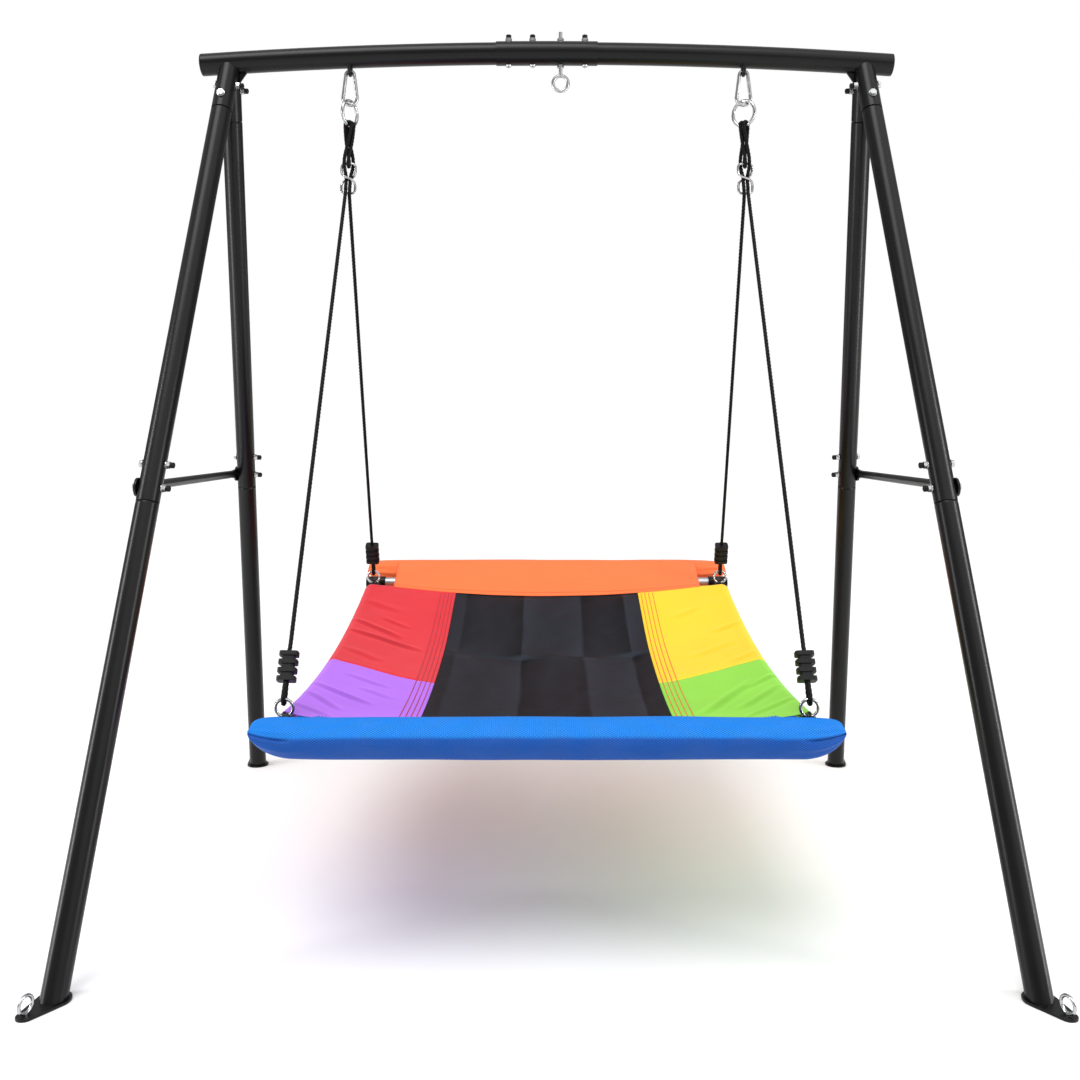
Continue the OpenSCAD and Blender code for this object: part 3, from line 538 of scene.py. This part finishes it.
def black_lift(x, y):
    """Creases left by folding: each one turns from ridge to valley where the cross crease meets it."""
    flip = 1 - 2 * smooth_step(CROSS_CREASE + CROSS_TURN, CROSS_CREASE - CROSS_TURN, y)
    broad, fine, waver = 0.0014, 0.0006, 0.004
    lift = broad * rumple(x, y, 7, 3.1) + fine * rumple(x, y, 24, 8.3)
    for place, tall in BLACK_CREASES:
        wander = waver * rumple(place, y, 5, 1.7)
        lift += tall * flip * math.exp(-abs(x - place - wander) / CREASE_WIDTH)
    cell = math.sin((x - CELL_EDGE) / CELL_WIDTH * math.pi)
    return lift + CROSS_TALL * cell * math.exp(-abs(y - CROSS_CREASE) / CROSS_WIDTH)


def slope(lift, x, y, way):
    """How steeply a lifted cloth rises along the way."""
    reach = 0.002
    dx, dy = way[0] * reach, way[1] * reach
    return (lift(x + dx, y + dy) - lift(x - dx, y - dy)) / (2 * reach)


def painted_crease_tone(steep):
    """Painted light on a crease's slope: 0.5 on flat cloth, up to 1 where it is painted lit and down to 0 where it
    is painted shaded.
    """
    return max(0.0, min(1.0, 0.5 + steep))


def black_point(x, y):
    """Point of the black panel, whose creases fade out at its seams."""
    side_fade, end_fade, sunk = 0.02, 0.03, 0.0008
    edge = smooth_step(0, side_fade, BLACK_HALF - abs(x)) * smooth_step(0, end_fade, SEAM_Y - abs(y))
    return bow_point(x, y, cloth_height(x, y) - sunk + black_lift(x, y) * edge)


def add_black_panel():
    columns = spread(-BLACK_HALF - EDGE_TUCK, BLACK_HALF + EDGE_TUCK, 100)
    rows = spread(-SEAM_Y - SEAM_TUCK, SEAM_Y + SEAM_TUCK, 200)
    # Painted crease shade: cloth rising along bright_way is painted lighter, cloth falling along it darker.
    bright_way, contrast = (-0.9, 0.45), 3.2
    points = [black_point(x, y) for y in rows for x in columns]
    uv = [(x, y) for y in rows for x in columns]
    painted_crease_shade = [painted_crease_tone(contrast * slope(black_lift, x, y, bright_way)) for x, y in uv]
    panel = add_piece("middle_panel", points, grid_faces(len(rows), len(columns)), paints["black_cloth"],
                      "mat", uv, MAT_FRAME, painted_crease_shade)
    thicken(panel, CLOTH_THICK)
    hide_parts("panel_black")


# The side panels' creases: (across, along) of the two ends, then height and width
SIDE_FOLDS = {
    "left": [
        (0.240, 0.190, 0.045, 0.130, 0.0046, 0.010), (0.240, 0.262, 0.100, 0.190, 0.0040, 0.010),
        (0.170, 0.300, 0.090, 0.260, 0.0024, 0.009), (0.235, 0.400, 0.120, 0.350, 0.0022, 0.014),
        (0.230, 0.060, 0.120, 0.010, 0.0024, 0.012), (0.240, -0.230, 0.090, -0.310, 0.0046, 0.010),
        (0.190, -0.120, 0.080, -0.165, 0.0028, 0.009), (0.235, -0.300, 0.140, -0.400, 0.0040, 0.010),
        (0.150, -0.200, 0.060, -0.240, 0.0026, 0.010), (0.240, -0.410, 0.150, -0.460, 0.0030, 0.010),
    ],
    "right": [
        (0.230, 0.240, 0.150, 0.200, 0.0034, 0.011), (0.200, 0.120, 0.080, 0.060, 0.0026, 0.014),
        (0.235, 0.020, 0.160, -0.020, 0.0030, 0.012), (0.190, -0.165, 0.050, -0.360, 0.0048, 0.012),
        (0.240, -0.165, 0.160, -0.225, 0.0038, 0.010), (0.225, -0.250, 0.120, -0.370, 0.0040, 0.011),
        (0.240, -0.360, 0.120, -0.440, 0.0034, 0.010), (0.150, 0.380, 0.070, 0.330, 0.0022, 0.014),
    ],
}
# A side panel: its edge under the black one, its flat width, its way round the rail, and its whole width
INNER_EDGE = BLACK_HALF - 0.002
FLAT_WIDTH = RAIL_X - INNER_EDGE
WRAP = math.radians(250)
SIDE_WIDTH = FLAT_WIDTH + HEM_R * WRAP
# How much further back the colours meet at the rail than at the black panel, and the dip where they do
COLOUR_SLANT = 0.045
SEAM_DIP = 0.0018
SEAM_DIP_WIDTH = 0.003
# Between these places across, a side panel's end steps back from under the flap to the hem's end
STEP_BACK = (0.165, 0.205)


def colour_line(across):
    """Where the front and rear colours of a side panel meet."""
    return COLOUR_Y + COLOUR_SLANT * smooth_step(-0.05, FLAT_WIDTH + 0.03, across)


def side_point(side, across, along):
    """Point of a side panel, across metres out from its inner edge, and round the hem from there on."""
    if across <= FLAT_WIDTH:
        x = INNER_EDGE + across
        height = cloth_height(x, along)
        normal = Vector((-2 * sag_at(along) * x / RAIL_X ** 2, 1)).normalized()
    else:
        angle = math.pi / 2 - (across - FLAT_WIDTH) / HEM_R
        normal = Vector((math.cos(angle), math.sin(angle)))
        x, height = RAIL_X + HEM_R * normal.x, HEM_R * normal.y
    broad, fade, clear = 0.0014, 0.05, 0.0006
    lift = fold_height(across, along, SIDE_FOLDS[side])
    lift += broad * rumple(across, along, 16, 5.2 if side == "left" else 9.7)
    lift -= SEAM_DIP * math.exp(-((along - colour_line(across)) / SEAM_DIP_WIDTH) ** 2)
    on_hem = smooth_step(FLAT_WIDTH - 0.02, FLAT_WIDTH + 0.02, across)
    lift *= smooth_step(0, fade, across) * (1 - 0.7 * on_hem)
    lift = clear + lift * smooth_step(-0.004, fade, HEM_END - abs(along))
    x += normal.x * lift
    return bow_point(x if side == "right" else -x, along, height + normal.y * lift)


def cloth_end(across):
    """How far a side panel runs towards the rolls: under the flaps, then on to the corner joints."""
    under_flap = SEAM_Y + SEAM_TUCK
    return under_flap - (under_flap - HEM_END) * smooth_step(*STEP_BACK, across)


def add_side_panel(side, colour, is_rear, rows):
    columns = spread(0, SIDE_WIDTH, 96)
    # Painted crease shade: cloth rising along bright_way is painted lighter, cloth falling along it darker.
    bright_way, contrast = (0.3, -0.95), 0.9
    points, uv, painted_crease_shade = [], [], []

    def lift(across, along):
        return fold_height(across, along, SIDE_FOLDS[side])

    for i in range(rows):
        for across in columns:
            low, high = colour_line(across), cloth_end(across) if is_rear else -cloth_end(across)
            along = low + (high - low) * i / (rows - 1)
            points.append(side_point(side, across, along))
            uv.append((across, along))
            painted_crease_shade.append(painted_crease_tone(contrast * slope(lift, across, along, bright_way)))
    cloth = colour + "_cloth"
    panel = add_piece(colour + "_panel", points, grid_faces(rows, len(columns)), paints[cloth],
                      "mat", uv, MAT_FRAME, painted_crease_shade)
    thicken(panel, CLOTH_THICK, -1.0 if (side == "right") == is_rear else 1.0)
    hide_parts("panel_" + colour)


# ---------------------------------------------------------------- the padded rolls' covers
# Half widths of the flap's upper and lower ply. The upper one is 10 mm wider than the CAD's at each side
FLAP_HALF = RAIL_X - 0.056
LOWER_HALF = RAIL_X - 0.020
# A cover's whole way round, and the share of it that each ply takes; the roll takes the rest
COVER_GIRTH = 0.42
PLY_SHARE = 0.25
COVER_THICK = 0.0013
# Length over which the front (-1) and the rear (1) roll taper to their tips
PINCH = {-1: 0.072, 1: 0.095}


def roll_radius(x, angle, end):
    """The roll is a little squared, thinner towards its ends, and uneven."""
    squareness, taper = 0.035, 0.05
    rough_tall, pleat_tall = 0.0015, 0.0019
    radius = ROLL_R * (1.0 + squareness * math.cos(4 * angle)) * (1.01 - taper * (x / ROLL_HALF) ** 2)
    uneven = noise.noise(Vector((x * 7, math.cos(angle) * 0.8, math.sin(angle) * 0.8 + 5 * end)))
    near_end = smooth_step(ROLL_HALF - 0.12, ROLL_HALF - 0.01, abs(x))
    pleats = math.sin(7 * angle + 3 * math.sin(2 * angle) + (1 if x > 0 else 2.2))
    return radius + rough_tall * uneven + pleat_tall * near_end * pleats


def roll_point(x, angle, end):
    """The cover's skin round the roll as (along, height); angle 0 faces outward and 90 degrees up."""
    pinch = PINCH[end]
    tip_height, tip_rise = 0.24, 0.011
    mouth_depth, mouth_angle = 0.0075, 0.09
    past = max(0.0, min(1.0, (abs(x) - ROLL_HALF + pinch) / pinch))
    flat = tip_height + (1 - tip_height) * math.sqrt(max(0.0, 1 - past ** 2.2))
    deep = 1 - 0.3 * past ** 3
    raised = tip_rise * past ** 2
    turned = (angle + math.pi) % (2 * math.pi) - math.pi
    near_tip = smooth_step(ROLL_HALF - 0.085, ROLL_HALF - 0.05, abs(x))
    mouth = mouth_depth * math.exp(-(turned / mouth_angle) ** 2) * near_tip
    radius = roll_radius(x, angle, end) - mouth
    return Vector((ROLL_Y + radius * math.cos(angle) * deep, radius * math.sin(angle) * flat + raised))


def taut_line(points, sign):
    """The line of a cloth pulled taut over the points (sign 1) or under them (sign -1)."""
    chain = []
    for point in sorted(points, key=lambda p: p.x):
        while len(chain) > 1:
            a, b = chain[-1] - chain[-2], point - chain[-1]
            if sign * (a.x * b.y - a.y * b.x) < 0:
                break
            chain.pop()
        chain.append(point)
    return chain


def on_line(chain, share):
    """The point at a share of a line's length."""
    rest = share * line_length(chain)
    for a, b in zip(chain, chain[1:]):
        length = (b - a).length
        if rest <= length:
            return a.lerp(b, rest / length)
        rest -= length
    return chain[-1]


class Sleeve:
    """A cover's section at x: two plies from the seam over the end rail, and the skin round the roll."""

    def __init__(self, x, end):
        self.x, self.end = x, end
        # The seam's unevenness, each ply's place above and below it, and the gap at the end rail
        waver, above, below, clear = 0.0025, 0.0016, 0.0030, 0.0035
        seam = Vector((SEAM_Y + waver * rumple(x, 0, 9, 2.0 + end), cloth_height(x, SEAM_Y)))
        toward = seam - Vector((ROLL_Y, 0))
        over = RAIL_R + clear
        rise = math.asin((ROLL_R - over) / (ROLL_Y - RAIL_Y))
        self.inward = math.atan2(toward.y, toward.x) % (2 * math.pi)
        self.upper = math.pi / 2 + rise
        self.lower = min(self.inward + math.acos(ROLL_R / toward.length), 3 * math.pi / 2 - rise)
        turns = spread(0, 2 * math.pi, 41)
        rail = [Vector((RAIL_Y, 0)) + over * Vector((math.cos(t), math.sin(t))) for t in turns]
        self.plies = [
            taut_line([seam + Vector((0, above)), *rail, roll_point(x, self.upper, end)], 1),
            taut_line([seam - Vector((0, below)), *rail, roll_point(x, self.lower, end)], -1),
        ]

    def point(self, share, has_flap):
        """Share 0 to 1 runs over the upper ply, round the roll, and back along the lower ply."""
        if PLY_SHARE <= share <= 1 - PLY_SHARE:
            turn = (share - PLY_SHARE) / (1 - 2 * PLY_SHARE)
            spot = roll_point(self.x, self.upper + (self.lower - 2 * math.pi - self.upper) * turn, self.end)
            return bow_point(self.x, self.end * spot.x, spot.y)
        first = share < PLY_SHARE
        along = share / PLY_SHARE if first else (1 - share) / PLY_SHARE
        if has_flap:
            ripple_tall, ply_width = 0.0012, 0.12
            spot = on_line(self.plies[0 if first else 1], along)
            ripple = ripple_tall * rumple(self.x, along * ply_width, 14, 4 + self.end)
            spot.y += ripple * math.sin(math.pi * along) ** 2 * (1 if first else -1)
        else:
            leave = self.upper if first else self.lower
            spot = roll_point(self.x, self.inward + (leave - self.inward) * along, self.end)
        return bow_point(self.x, self.end * spot.x, spot.y)


def add_cover(end, name, paint, node):
    """A cover: the stretch with a flap, and at each end the roll's tip with the lower ply under it."""
    shares = spread(0, 1, 129)
    middle = spread(-FLAP_HALF, FLAP_HALF, 150)
    beyond = spread(FLAP_HALF, ROLL_HALF, 36)
    strip = spread(FLAP_HALF, LOWER_HALF, 10)
    points, uv, faces = [], [], []

    def add_part(xs, part_shares, has_flap):
        start = len(points)
        for x in xs:
            sleeve = Sleeve(x, end)
            points.extend(sleeve.point(share, has_flap) for share in part_shares)
            uv.extend((x, share * COVER_GIRTH) for share in part_shares)
        faces.extend(grid_faces(len(xs), len(part_shares), start))
        return start

    add_part(middle, shares, True)
    under = [share for share in shares if share >= 1 - PLY_SHARE]
    for side in (-1, 1):
        xs = [side * x for x in beyond][::side]
        start = add_part(xs, shares, False)
        tip = start + (len(xs) - 1 if side > 0 else 0) * len(shares)
        half = len(shares) // 2
        last = len(shares) - 1
        faces.extend((tip + i, tip + i + 1, tip + last - 1 - i, tip + last - i) for i in range(half))
        add_part([side * x for x in strip][::side], under, True)
    cover = add_piece(name, points, faces, paint, "mat", uv, MAT_FRAME)
    weld = cover.modifiers.new("weld", "WELD")
    weld.merge_threshold = 0.00005
    thicken(cover, COVER_THICK, 1.0 if end > 0 else -1.0)
    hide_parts(node)


# Rounded shoulders of a foam core: share of its half length, and of its radius
FOAM_SHOULDER = [(0.985, 0.93), (0.994, 0.82), (1, 0.62)]
FOAM_CLEAR = 0.0045


def add_foam():
    """Foam cores inside the covers, with rounded shoulders."""
    points, faces = [], []
    sides = 40
    rings = [*((-share, swell) for share, swell in FOAM_SHOULDER[::-1]),
             *((share, 1.0) for share in spread(-0.97, 0.97, 40)), *FOAM_SHOULDER]
    for end in (-1, 1):
        start = len(points)
        for share, swell in rings:
            x = share * (ROLL_HALF - PINCH[end] * 0.6)
            for k in range(sides):
                angle = 2 * math.pi * k / sides
                rough = 1 + 0.012 * noise.noise(Vector((x * 30, math.cos(angle), math.sin(angle) + end)))
                taper = 0.97 - 0.13 * smooth_step(0.9, 1, abs(share))
                radius = (ROLL_R - FOAM_CLEAR) * swell * rough * taper
                along = end * (ROLL_Y + radius * math.cos(angle))
                points.append(bow_point(x, along, radius * math.sin(angle)))
        faces += grid_faces(len(rings), sides, start, around=True)
        last = start + (len(rings) - 1) * sides
        faces += [tuple(start + k for k in range(sides)), tuple(last + k for k in range(sides))]
    cores = add_piece("foam_cores", points, faces, paints["foam"], "mat", None, MAT_FRAME)
    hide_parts("foam_rolls")


# ---------------------------------------------------------------- stitching
STITCH = 0.0045
STITCH_GAP = 0.0016
THREAD_R = 0.0010
# Rows of stitches beside the black panel, across the side panel, and the flap's row, along its ply
PANEL_ROWS = (0.008, 0.018, 0.028, 0.039)
FLAP_ROW = 0.09


def add_stitches(name, lines, paint):
    """Rows of stitches that lie on the cloth along the lines, each a short arched thread."""
    points, faces = [], []
    arch = [(0.0, -0.8), (0.2, 0.5), (0.5, 1.0), (0.8, 0.5), (1.0, -0.8)]
    sides = 5
    for line in lines:
        run = 0.0
        for a, b in zip(line, line[1:]):
            run += (b - a).length
            if run < STITCH + STITCH_GAP:
                continue
            way = (b - a).normalized()
            side = way.cross(Vector((0, 0, 1))).normalized()
            up = side.cross(way)
            start = len(points)
            for share, rise in arch:
                centre = b - way * STITCH * (1 - share) + up * THREAD_R * rise
                for k in range(sides):
                    angle = 2 * math.pi * k / sides
                    points.append(centre + THREAD_R * (math.cos(angle) * side + math.sin(angle) * up))
            faces += grid_faces(len(arch), sides, start, around=True)
            run = 0.0
    return add_piece(name, points, faces, paint, "mat", None, MAT_FRAME)


def add_seams():
    row_end = SEAM_Y - 0.002
    for side, thread, colour in (("left", "crimson", "red"), ("right", "coral", "yellow")):
        rows = [[side_point(side, across, along) for along in spread(-row_end, row_end, 900)]
                for across in PANEL_ROWS]
        add_stitches("panel_stitches_" + side, rows, paints[thread + "_thread"])
    for end, word, thread in ((-1, "front", "blue"), (1, "rear", "orange")):
        edge = [Sleeve(x, end).point(PLY_SHARE * FLAP_ROW, True)
                for x in spread(-FLAP_HALF, FLAP_HALF, 800)]
        add_stitches("flap_stitches_" + word, [edge], paints[thread + "_thread"])


# ---------------------------------------------------------------- stage
def add_stage():
    floor = bpy.data.meshes.new("floor")
    half, height = 60, -0.0005
    corners = [(-half, -half), (half, -half), (half, half), (-half, half)]
    floor.from_pydata([(x, y, height) for x, y in corners], [], [(0, 1, 2, 3)])
    ground = bpy.data.objects.new("floor", floor)
    bpy.context.scene.collection.objects.link(ground)
    paint = Paint("studio_floor", Roughness=0.9, Specular_IOR_Level=0.0)
    cloudy = paint.noise(paint.place(), 0.8, 2)
    pale = paint.mix(cloudy, tone((0.86, 0.86, 0.86)), tone((0.9, 0.9, 0.9)))
    paint.feed(paint.shader, Base_Color=pale)
    floor.materials.append(paint.material)


def add_sun(name, energy, softness, height, bearing):
    """A soft sun: angles in degrees, bearing from the front, below 0 to the left."""
    light = bpy.data.lights.new(name, "SUN")
    light.energy = energy
    light.angle = math.radians(softness)
    lamp = bpy.data.objects.new(name, light)
    lamp.rotation_euler = (math.radians(90 - height), 0, math.radians(bearing))
    bpy.context.scene.collection.objects.link(lamp)


def add_strip(name, place, energy):
    """A tall narrow panel light that faces the stand's middle."""
    light = bpy.data.lights.new(name, "AREA")
    light.shape = "RECTANGLE"
    light.size, light.size_y = 0.16, 2.4
    light.energy = energy
    lamp = bpy.data.objects.new(name, light)
    lamp.location = place
    lamp.rotation_euler = (Vector((0, 0, place[2])) - Vector(place)).to_track_quat("-Z", "Y").to_euler()
    lamp.visible_camera = False
    bpy.context.scene.collection.objects.link(lamp)


def add_world():
    """White to the camera; to the surfaces, a soft box overhead and dim walls."""
    world = bpy.data.worlds.new("studio")
    world.use_nodes = True
    bpy.context.scene.world = world
    tree = world.node_tree
    shown = tree.nodes["Background"]
    shown.inputs["Color"].default_value = (1, 1, 1, 1)
    place = tree.nodes.new("ShaderNodeTexCoord")
    split = tree.nodes.new("ShaderNodeSeparateXYZ")
    level = tree.nodes.new("ShaderNodeMapRange")
    for socket, value in (("From Min", 0.1), ("From Max", 0.8), ("To Min", 0.24), ("To Max", 0.95)):
        level.inputs[socket].default_value = value
    dim = tree.nodes.new("ShaderNodeBackground")
    rays = tree.nodes.new("ShaderNodeLightPath")
    choose = tree.nodes.new("ShaderNodeMixShader")
    tree.links.new(place.outputs["Generated"], split.inputs["Vector"])
    tree.links.new(split.outputs["Z"], level.inputs["Value"])
    tree.links.new(level.outputs["Result"], dim.inputs["Strength"])
    tree.links.new(rays.outputs["Is Camera Ray"], choose.inputs[0])
    tree.links.new(dim.outputs["Background"], choose.inputs[1])
    tree.links.new(shown.outputs["Background"], choose.inputs[2])
    tree.links.new(choose.outputs["Shader"], tree.nodes["World Output"].inputs["Surface"])


def add_lights():
    bpy.context.scene.view_settings.view_transform = "Standard"
    add_world()
    add_sun("key", energy=1.6, softness=36, height=60, bearing=-22)
    add_sun("fill", energy=0.9, softness=70, height=40, bearing=40)
    for side, x in (("left", -2.6), ("right", 2.6)):
        add_strip("strip_" + side, place=(x, -0.9, 1.1), energy=40)


# ---------------------------------------------------------------- making
add_camera()
paints = make_paints()
for hanger_side in ("left", "right"):
    add_rope(hanger_side)
dress_cad_nodes()
add_black_panel()
add_side_panel("left", "red", is_rear=True, rows=150)
add_side_panel("left", "purple", is_rear=False, rows=110)
add_side_panel("right", "yellow", is_rear=True, rows=150)
add_side_panel("right", "green", is_rear=False, rows=110)
add_cover(-1, "blue_sleeve", paints["blue_cloth"], "front_cover")
add_cover(1, "orange_sleeve", paints["orange_cloth"], "rear_cover")
add_foam()
add_seams()
add_stage()
add_lights()
